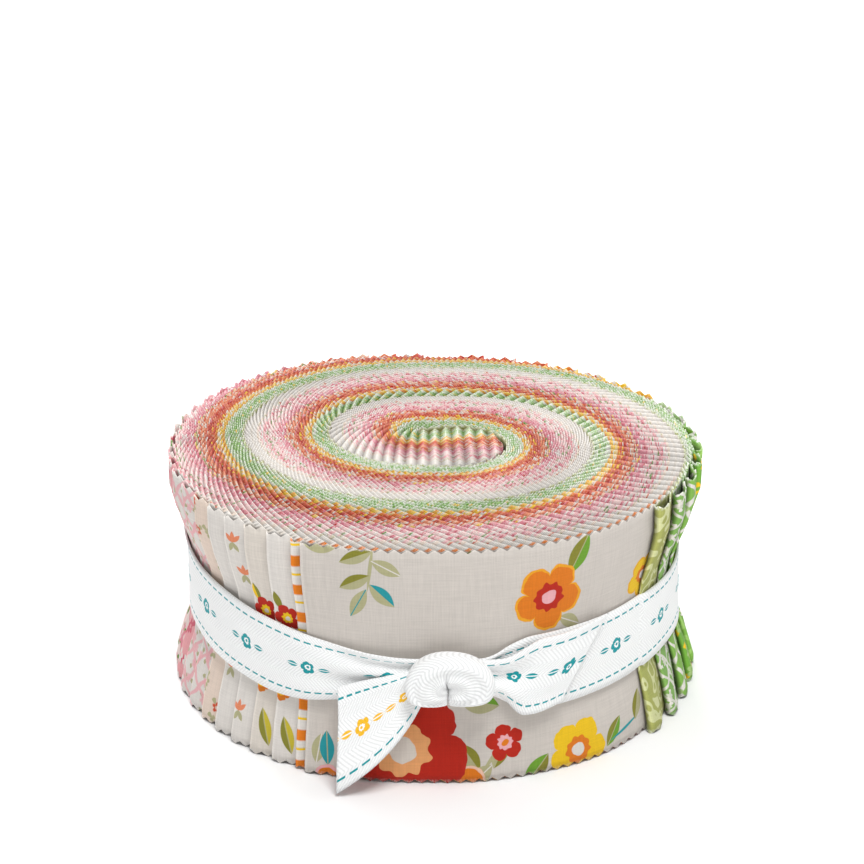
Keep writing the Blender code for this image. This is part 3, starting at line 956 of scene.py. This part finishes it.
# Each cloth from the inside of the roll out: print, ground, first ink, second ink, size
CLOTHS = (
    ("scroll", (0.40, 0.42, 0.12), (0.64, 0.66, 0.34), OLIVE, 4.2),
    ("lattice", (0.22, 0.42, 0.10), WHITE, WHITE, 6.5),
    ("trellis", (0.22, 0.44, 0.08), WHITE, PALE_GREEN, 7.5),
    ("ditsy", (0.18, 0.42, 0.05), PALE_GREEN, YELLOW, 6.5),
    ("scroll", (0.22, 0.46, 0.07), (0.34, 0.58, 0.14), LEAF, 5.0), ("ditsy", LEAF, PALE_GREEN, WHITE, 5.0),
    ("trellis", (0.34, 0.54, 0.20), WHITE, WHITE, 5.0), ("scroll", (0.46, 0.60, 0.30), WHITE, WHITE, 4.0),
    ("ditsy", GOLD, WHITE, ORANGE, 5.5), ("trellis", YELLOW, WHITE, WHITE, 5.0),
    ("ditsy", (0.88, 0.62, 0.25), WHITE, CORAL, 6.0),
    ("ditsy", ORANGE, YELLOW, WHITE, 7.0), ("scroll", CORAL, PALE_CORAL, CORAL, 4.5),
    ("ditsy", CORAL, WHITE, YELLOW, 5.5), ("trellis", RED, PALE_CORAL, PALE_CORAL, 5.0),
    ("ditsy", (0.66, 0.10, 0.05), WHITE, PINK, 6.0), ("ditsy", PALE_CORAL, WHITE, RED, 5.0),
    ("scroll", PALE_CORAL, PEACH, PEACH, 4.5), ("trellis", CORAL, WHITE, WHITE, 5.5),
    ("ditsy", PEACH, CORAL, GREEN, 5.0),
    ("ditsy", ROSE, WHITE, YELLOW, 6.0), ("trellis", PINK, WHITE, WHITE, 5.0),
    ("scroll", PINK, PALE_PINK, PINK, 4.5), ("ditsy", PINK, WHITE, RED, 5.5),
    ("ditsy", PALE_PINK, WHITE, ROSE, 6.0), ("trellis", PALE_PINK, WHITE, WHITE, 4.5),
    ("ditsy", (0.86, 0.60, 0.58), ROSE, GREEN, 6.0), ("scroll", (0.88, 0.62, 0.60), WHITE, WHITE, 4.5),
    ("ditsy", (0.84, 0.60, 0.58), ROSE, GREEN, 8.0), ("lattice", (0.80, 0.66, 0.62), PINK, GREEN, 9.0),
    ("ditsy", (0.80, 0.36, 0.38), WHITE, ROSE, 7.0), ("lattice", WHITE, PALE_PINK, SAGE, 9.0),
    ("lattice", WHITE, PALE_PINK, SAGE, 9.0), ("sprig", (0.80, 0.66, 0.56), CORAL, SAGE, 9.0),
    ("buds", WHITE, PALE_CORAL, SAGE, ((3.0, 18.0), (13.0, 47.0))),
    ("buds", WHITE, PALE_CORAL, SAGE, ((3.2, 56.5), (5.0, 47.5), (2.0, 9.0))),
    ("spray", CREAM, RED, YELLOW, 0.0), ("spray", WHITE, RED, OLIVE, 0.0),
    ("stripe", WHITE, ORANGE, YELLOW, 8.0),
    ("bouquet", OYSTER, RED, ORANGE, 0.0),
)


def small_print(board, place, kind, ground, first, second, size, shift):
    """Return the colour of a small repeating print."""
    moved = board.vector("ADD", place, (shift, shift * 0.37, 0.0))
    if kind == "scroll":
        return board.mix(board.use("scroll", Place=moved, Size=size)["Lines"], ground, first)
    if kind == "stripe":
        u, v = board.split(place)
        part = board.math("FRACT", (v + 2.7) / size)
        colour = board.mix(board.mask(0.18 - abs(part - 0.5), 0.05), ground, first)
        colour = board.mix(board.mask(0.08 - part, 0.05), colour, second)
        top = board.mask(v - STRIPE_EDGE, 0.3) * board.mask(STRIPE_RUN - abs(u), 20.0)
        return board.mix(top, colour, first)
    if kind == "trellis":
        lines = board.use("trellis", Place=moved, Spacing=size)
        return board.mix(lines["Dots"], board.mix(lines["Lines"], ground, first), second)
    if kind == "lattice":
        lines = board.use("trellis", Place=moved, Spacing=size, Line=0.085)
        buds = board.use("ditsy", Place=moved, Cell=size * 0.62, Size=0.24)
        colour = board.mix(buds["Leaves"], ground, second)
        colour = board.mix(lines["Lines"] * 0.9, colour, first)
        return board.mix(buds["Flowers"] * 0.8, colour, first)
    flowers = board.use("ditsy", Place=moved, Cell=size, Size=0.17 if kind == "sprig" else 0.3)
    picked = board.mix(board.mask(flowers["Pick"] - 0.68, 0.02), first, second)
    colour = board.mix(flowers["Leaves"], ground, second)
    colour = board.mix(flowers["Flowers"], colour, picked)
    return board.mix(flowers["Hearts"], colour, ground)


def paint_parts(board, colour, parts, inks):
    """Print the named parts of a motif over a colour, each in its ink."""
    for name, ink in inks.items():
        colour = board.mix(parts[name], colour, ink)
    return colour


def paint_flower(board, place, colour, centre, radius, petals, rim, ring, heart, turn=0.0, notch=0.32):
    """Print a flower over a colour."""
    parts = board.use("flower", Place=place, Centre=(*centre, 0.0), Radius=radius, Turn=turn,
                      Notch=notch)
    return paint_parts(board, colour, parts, {"Petals": petals, "Rim": rim, "Ring": ring,
                                              "Heart": heart})


def paint_leaf(board, place, colour, base, turn, length, width, blade, half, vein):
    """Print a leaf over a colour."""
    parts = board.use("leaf", Place=place, Base=(*base, 0.0), Turn=math.radians(turn),
                      Length=length, Width=width)
    return paint_parts(board, colour, parts, {"Blade": blade, "Half": half, "Vein": vein})


# The large print on the outermost strip: places in millimetres from its fold and its lower edge
BOUQUET_REPEAT = 112.0
BUD_REPEAT = 24.0
LARGE_LEAVES = (
    ((18.3, 64.0), -97.0, 12.5, 0.9, SAGE, SAGE, SAGE),
    ((0.9, 63.4), 0.0, 9.2, 5.4, SAGE, SAGE, SAGE),
    ((10.1, 58.9), 24.0, 8.8, 3.5, SAGE, OLIVE, SAGE),
    ((17.8, 60.0), -27.0, 8.0, 3.6, SAGE, SAGE, WHITE),
    ((9.9, 51.9), 28.0, 8.7, 3.7, SAGE, OLIVE, SAGE),
    ((17.2, 53.6), -44.0, 8.4, 3.9, SAGE, TEAL, SAGE),
    ((16.5, 52.2), -118.0, 9.0, 3.5, SAGE, SAGE, TEAL),
    ((3.4, 3.4), 82.0, 8.0, 3.6, SAGE, SAGE, WHITE),
    ((6.4, 3.0), 94.0, 9.2, 3.8, TEAL, TEAL, SAGE),
    ((66.5, 53.0), 62.0, 11.5, 5.0, LEAF, OLIVE, SAGE),
    ((65.0, 41.5), -28.0, 7.0, 3.6, SAGE, SAGE, WHITE),
    ((39.0, 22.5), -14.0, 10.5, 6.0, SAGE, LEAF, SAGE),
    ((44.0, 3.0), 122.0, 9.0, 4.4, OLIVE, SAGE, SAGE),
    ((44.5, 2.5), 55.0, 10.0, 1.0, SAGE, SAGE, SAGE),
    ((47.5, 3.5), 66.0, 9.0, 4.0, OLIVE, SAGE, SAGE),
    ((40.5, -1.5), 42.0, 9.0, 4.6, SAGE, SAGE, WHITE),
    ((55.5, -2.5), 50.0, 10.0, 5.0, OLIVE, LEAF, SAGE),
    ((79.5, 2.0), 52.0, 8.5, 3.8, LEAF, OLIVE, SAGE),
    ((81.0, 3.2), 14.0, 12.0, 0.8, TEAL, TEAL, TEAL),
    ((91.0, 5.0), 70.0, 8.0, 4.0, SAGE, OLIVE, SAGE),
)


LARGE_FLOWERS = (
    ((38.5, -3.0), 8.5, ORANGE, PEACH, PALE_PINK, WHITE, 0.4),
    ((6.5, -3.8), 7.0, ORANGE, PALE_PINK, CORAL, YELLOW, 0.9),
    ((25.0, 9.0), 16.5, RED, (0.50, 0.02, 0.01), (0.86, 0.40, 0.16), CREAM, 0.3, 0.24),
    ((61.5, 48.0), 9.3, ORANGE, (0.86, 0.38, 0.02), RED, PALE_PINK, 0.25),
    ((50.5, 10.2), 4.9, RED, RED, PALE_PINK, ORANGE, 0.8, 0.4),
    ((70.5, 4.2), 8.3, YELLOW, YELLOW, ORANGE, WHITE, 0.2),
    ((95.0, 44.0), 6.5, YELLOW, GOLD, ORANGE, WHITE, 0.2),
)
BOUQUET_START = 6.0
# The buds' leaves and petals: turn in degrees, and which of the two inks
BUD_PARTS = ((-60.0, 1), (-115.0, 1), (45.0, 0), (90.0, 0), (135.0, 0))


def bouquet_print(board, place, ground):
    """Return the colour of the large floral print."""
    u, v = board.split(place)
    place = board.join((u + BOUQUET_START) % BOUQUET_REPEAT - BOUQUET_START, v)
    colour = ground
    for leaf in LARGE_LEAVES:
        colour = paint_leaf(board, place, colour, *leaf)
    for flower in LARGE_FLOWERS:
        colour = paint_flower(board, place, colour, *flower)
    return colour


def spray_print(board, place, ground, first, second):
    """Return the colour of a print of single flowers and leaves near the fold."""
    colour = ground
    for leaf in (((5.8, 3.0), 106.0, 10.0, 3.4, (0.58, 0.48, 0.04), OLIVE, SAGE),
                 ((2.6, 41.5), 104.0, 5.5, 2.2, OLIVE, second, OLIVE),
                 ((7.0, 34.0), 150.0, 7.0, 3.4, LEAF, SAGE, SAGE)):
        colour = paint_leaf(board, place, colour, *leaf)
    colour = paint_flower(board, place, colour, (4.2, 39.6), 3.6, first, first, YELLOW, CREAM, 0.5)
    return paint_flower(board, place, colour, (1.5, 18.5), 2.6, ORANGE, ORANGE, YELLOW, CREAM, 0.1)


def bud_print(board, place, ground, first, second, places):
    """Return the colour of a print of small buds, each a fan of petals over two leaves."""
    u, v = board.split(place)
    place = board.join(u % BUD_REPEAT, v)
    colour = ground
    for bud in places:
        for turn, which in BUD_PARTS:
            ink = (first, second)[which]
            colour = paint_leaf(board, place, colour, bud, turn, 2.9, 1.2, ink, ink, ink)
    return colour


def strip_material(index):
    """Return the printed cotton of one strip, by its place in the stack."""
    row = min(index * len(CLOTHS) // STRIP_COUNT, len(CLOTHS) - 1)
    kind, ground, first, second, size = CLOTHS[row]
    material, board, shader, place = cloth_material(f"printed cotton {index + 1:02d}", 0.92)
    if kind == "bouquet":
        colour = bouquet_print(board, place, ground)
    elif kind == "spray":
        colour = spray_print(board, place, ground, first, second)
    elif kind == "buds":
        colour = bud_print(board, place, ground, first, second, size)
    else:
        colour = small_print(board, place, kind, ground, first, second, size, index * 17.3)
    shown = OUTER_SHOWN if kind == "bouquet" else FOLD_SHOWN
    share = index / STRIP_COUNT
    thread, wear = next(edge for reach, *edge in CUT_EDGES if share < reach)
    finish_cotton(board, shader, place, colour, shown, thread, wear)
    return material


def ribbon_material(name, settings, motif=None):
    """Return white twill; with a motif it has running stitches along both edges too."""
    material, board, shader, place = cloth_material(name, 0.72)
    twill = board.use("twill", Place=place)
    shadow = tuple(value * (0.82 if motif else 0.74) for value in settings.colour)
    colour = board.mix(twill["Height"], shadow, settings.colour)
    if motif:
        ink, spacing = motif
        u, v = board.split(place)
        near = board.join(board.math("FRACT", u / spacing) * spacing, v)
        colour = paint_flower(board, near, colour, (spacing / 2, 10.0), 2.0, ink, ink,
                              settings.colour, ink)
        for side in (-1, 1):
            base = (spacing / 2 + side * 2.8, 10.0)
            colour = paint_leaf(board, near, colour, base, 90 - side * 90, 3.6, 1.5, ink, ink,
                                settings.colour)
        colour = board.mix(twill["Stitches"], colour, settings.stitch_colour)
    finish_cloth(board, shader, colour, twill["Height"], 0.6, 0.00018)
    return material


# ---------------------------------------------------------------------- settings

class ClothSettings(bpy.types.PropertyGroup):
    """Sizes of the strips."""

    cloth_thickness: FloatProperty(
        name="Cloth thickness", description="Thickness of one layer of cotton",
        default=0.00023, min=0.0001, max=0.0005, precision=5, unit="LENGTH")
    tooth_pitch: FloatProperty(
        name="Tooth pitch", description="Distance between the points of a pinked edge",
        default=0.003175, min=0.001, max=0.01, precision=5, unit="LENGTH")
    tooth_depth: FloatProperty(
        name="Tooth depth", description="Depth of a pinked edge's teeth",
        default=0.00105, min=0.0, max=0.003, precision=5, unit="LENGTH")
    waist_pinch: FloatProperty(
        name="Waist", description="How far the ribbon pulls the roll in",
        default=0.0031, min=0.0, max=0.006, precision=4, unit="LENGTH")


class RibbonSettings(bpy.types.PropertyGroup):
    """Colours of the ribbon."""

    colour: FloatVectorProperty(
        name="Twill", description="Colour of the ribbon", subtype="COLOR",
        default=(0.94, 0.95, 0.95), min=0.0, max=1.0)
    stitch_colour: FloatVectorProperty(
        name="Stitches", description="Colour of the running stitches", subtype="COLOR",
        default=(0.0, 0.30, 0.33), min=0.0, max=1.0)
    motif_colour: FloatVectorProperty(
        name="Motif", description="Colour of the left tail's motif", subtype="COLOR",
        default=(0.90, 0.50, 0.02), min=0.0, max=1.0)


class StageSettings(bpy.types.PropertyGroup):
    """The floor, the light and the lens."""

    floor_colour: FloatVectorProperty(
        name="Floor", description="Colour of the floor", subtype="COLOR",
        default=(0.88, 0.88, 0.88), min=0.0, max=1.0)
    sky: FloatProperty(
        name="Sky", description="Strength of the even light from all round",
        default=0.48, min=0.0, max=4.0)
    key: FloatProperty(
        name="Key", description="Power that both soft lamps are scaled by",
        default=7.0, min=0.0, max=200.0, unit="POWER")
    lens: FloatProperty(
        name="Lens", description="Focal length of the camera",
        default=104.17, min=20.0, max=300.0, unit="CAMERA")


class StripRollSettings(bpy.types.PropertyGroup):
    """Everything that can be set on the strip roll."""

    cloth: PointerProperty(type=ClothSettings, name="Cloth", description="Sizes of the strips")
    ribbon: PointerProperty(type=RibbonSettings, name="Ribbon", description="Colours of the ribbon")
    stage: PointerProperty(type=StageSettings, name="Stage", description="Floor, light and lens")


# --------------------------------------------------------------------- operators

CAMERA_PLACE = (-0.00024, -0.60495, 0.310)
CAMERA_PITCH = 21.82
# Soft lamps: name, place, size, share of the key power
LAMPS = (("key", (0.16, -0.46, 1.12), 0.45, 1.45), ("back", (-0.20, 0.60, 1.00), 0.55, 1.55))
LAMP_TARGET = (0.0, 0.0, 0.03)


class STRIPROLL_OT_stage(bpy.types.Operator):
    """Add the floor, the soft lamps and the camera."""

    bl_idname = "striproll.stage"
    bl_label = "Add stage"

    def execute(self, context):
        settings = context.scene.strip_roll.stage
        self.add_floor(context, settings)
        self.add_light(context, settings)
        camera_data = bpy.data.cameras.new("camera")
        camera_data.lens = settings.lens
        camera_data.sensor_width = 36.0
        camera_data.clip_start = 0.01
        camera_data.clip_end = 20.0
        camera = bpy.data.objects.new("camera", camera_data)
        camera.location = CAMERA_PLACE
        camera.rotation_euler = (math.radians(90.0 - CAMERA_PITCH), 0.0, 0.0)
        context.scene.collection.objects.link(camera)
        context.scene.camera = camera
        context.scene.view_settings.view_transform = "Standard"
        return {"FINISHED"}

    def add_floor(self, context, settings):
        """Add a wide pale floor."""
        shape = bmesh.new()
        bmesh.ops.create_grid(shape, x_segments=4, y_segments=4, size=6.0)
        mesh = bpy.data.meshes.new("floor")
        shape.to_mesh(mesh)
        shape.free()
        material = bpy.data.materials.new("floor")
        material.use_nodes = True
        shader = material.node_tree.nodes["Principled BSDF"]
        shader.inputs["Base Color"].default_value = rgb(settings.floor_colour)
        shader.inputs["Roughness"].default_value = 0.9
        shader.inputs["Specular IOR Level"].default_value = 0.1
        mesh.materials.append(material)
        floor = bpy.data.objects.new("floor", mesh)
        context.scene.collection.objects.link(floor)

    def add_light(self, context, settings):
        """Add the even light and the two soft lamps."""
        world = bpy.data.worlds.new("studio")
        world.use_nodes = True
        background = world.node_tree.nodes.get("Background")
        background.inputs[0].default_value = (1.0, 1.0, 1.0, 1.0)
        background.inputs[1].default_value = settings.sky
        context.scene.world = world
        for name, place, size, share in LAMPS:
            lamp = bpy.data.lights.new(name, "AREA")
            lamp.size = size
            lamp.energy = settings.key * share
            item = bpy.data.objects.new(name, lamp)
            item.location = place
            aim = Vector(LAMP_TARGET) - Vector(place)
            item.rotation_euler = aim.to_track_quat("-Z", "Y").to_euler()
            context.scene.collection.objects.link(item)


class STRIPROLL_OT_strips(bpy.types.Operator):
    """Add the folded strips of printed cotton."""

    bl_idname = "striproll.strips"
    bl_label = "Add strips"

    def execute(self, context):
        settings = context.scene.strip_roll.cloth
        for index in range(STRIP_COUNT):
            node = f"strip_{index + 1:02d}"
            strip = strip_sheet(index, strip_material(index), settings)
            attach(strip, "roll")
            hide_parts(node)
        return {"FINISHED"}


class STRIPROLL_OT_band(bpy.types.Operator):
    """Add the band of ribbon round the roll, and the knot on it."""

    bl_idname = "striproll.band"
    bl_label = "Add band and knot"

    def execute(self, context):
        cloth = context.scene.strip_roll.cloth
        settings = context.scene.strip_roll.ribbon
        plain = ribbon_material("knot twill", settings)
        patterned = ribbon_material("band twill", settings, (settings.stitch_colour, 21.0))
        knot = knot_object(plain, cloth)
        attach(knot, "ribbon")
        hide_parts("ribbon_knot")
        band, length = band_sheet(patterned, cloth)
        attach(band, "ribbon")
        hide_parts("ribbon_band")
        return {"FINISHED"}


class STRIPROLL_OT_tails(bpy.types.Operator):
    """Add the ribbon's two tails beside the knot."""

    bl_idname = "striproll.tails"
    bl_label = "Add tails"

    def execute(self, context):
        cloth = context.scene.strip_roll.cloth
        settings = context.scene.strip_roll.ribbon
        left_cloth = ribbon_material("left tail twill", settings, (settings.motif_colour, 13.0))
        right_cloth = ribbon_material("right tail twill", settings, (settings.stitch_colour, 15.0))
        left, left_edges = left_tail_sheet(left_cloth, cloth)
        right, right_edges = right_tail_sheet(right_cloth, cloth)
        for tail, node in ((left, "ribbon_tail_left"), (right, "ribbon_tail_right")):
            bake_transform(tail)
            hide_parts(node)
        RIBBON_WIDTH * sum(left_edges) / 2
        RIBBON_WIDTH * sum(right_edges) / 2
        return {"FINISHED"}


class STRIPROLL_PT_panel(bpy.types.Panel):
    """The strip roll's settings and its pieces."""

    bl_idname = "STRIPROLL_PT_panel"
    bl_label = "Strip Roll"
    bl_space_type = "VIEW_3D"
    bl_region_type = "UI"
    bl_category = "Strip Roll"

    def draw(self, context):
        settings = context.scene.strip_roll
        layout = self.layout
        for name in ("cloth", "ribbon", "stage"):
            box = layout.box()
            for field in getattr(settings, name).bl_rna.properties:
                if field.identifier not in ("rna_type", "name"):
                    box.prop(getattr(settings, name), field.identifier)
        for operator in OPERATORS:
            layout.operator(operator.bl_idname)


OPERATORS = (STRIPROLL_OT_stage, STRIPROLL_OT_strips, STRIPROLL_OT_band, STRIPROLL_OT_tails)
CLASSES = (ClothSettings, RibbonSettings, StageSettings, StripRollSettings,
           *OPERATORS, STRIPROLL_PT_panel)


def register():
    """Add the classes and the scene's settings."""
    for item in CLASSES:
        bpy.utils.register_class(item)
    bpy.types.Scene.strip_roll = PointerProperty(type=StripRollSettings)


def unregister():
    """Remove the scene's settings and the classes."""
    del bpy.types.Scene.strip_roll
    for item in reversed(CLASSES):
        bpy.utils.unregister_class(item)


def main():
    """Build the whole scene."""
    register()
    bpy.ops.striproll.stage()
    bpy.ops.striproll.strips()
    bpy.ops.striproll.band()
    bpy.ops.striproll.tails()


if __name__ == "__main__":
    main()
